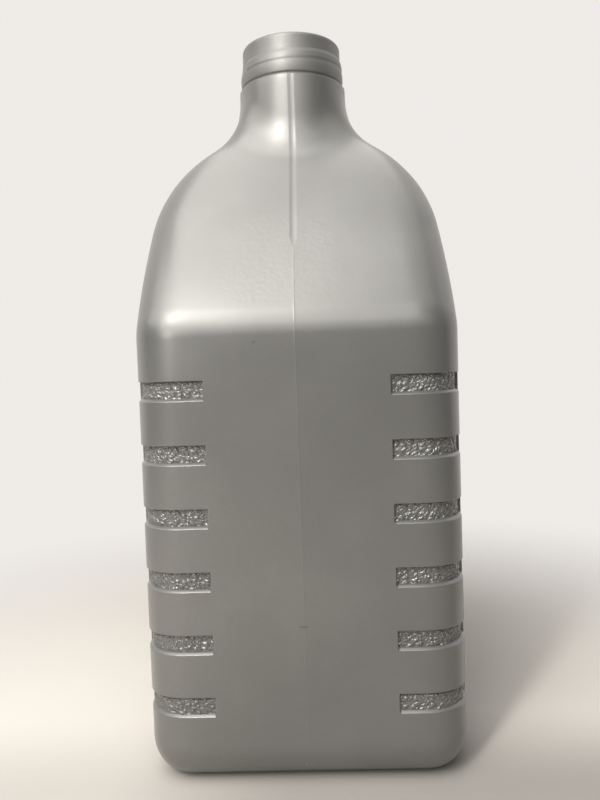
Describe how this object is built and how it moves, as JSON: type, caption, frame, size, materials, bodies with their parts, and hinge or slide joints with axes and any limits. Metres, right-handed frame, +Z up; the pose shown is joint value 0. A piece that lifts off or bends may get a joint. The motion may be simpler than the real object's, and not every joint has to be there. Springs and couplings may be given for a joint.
{
  "type": "antifreeze jug",
  "caption": "Tall four-sided blow-moulded jug with leaning shoulders, a threaded open neck and grip grooves round its upright corners.",
  "frame": {"origin": "middle of the base on the standing plane", "axes": "+Z up along the neck, X across the narrow faces, Y across the wide faces"},
  "size_m": [0.119, 0.16, 0.2919],
  "materials": {
    "silver_plastic": "silver-grey pearl polyethylene, satin, with fine grained grip grooves"
  },
  "bodies": {
    "root": {"jug_body": "silver_plastic"}
  },
  "joints": []
}
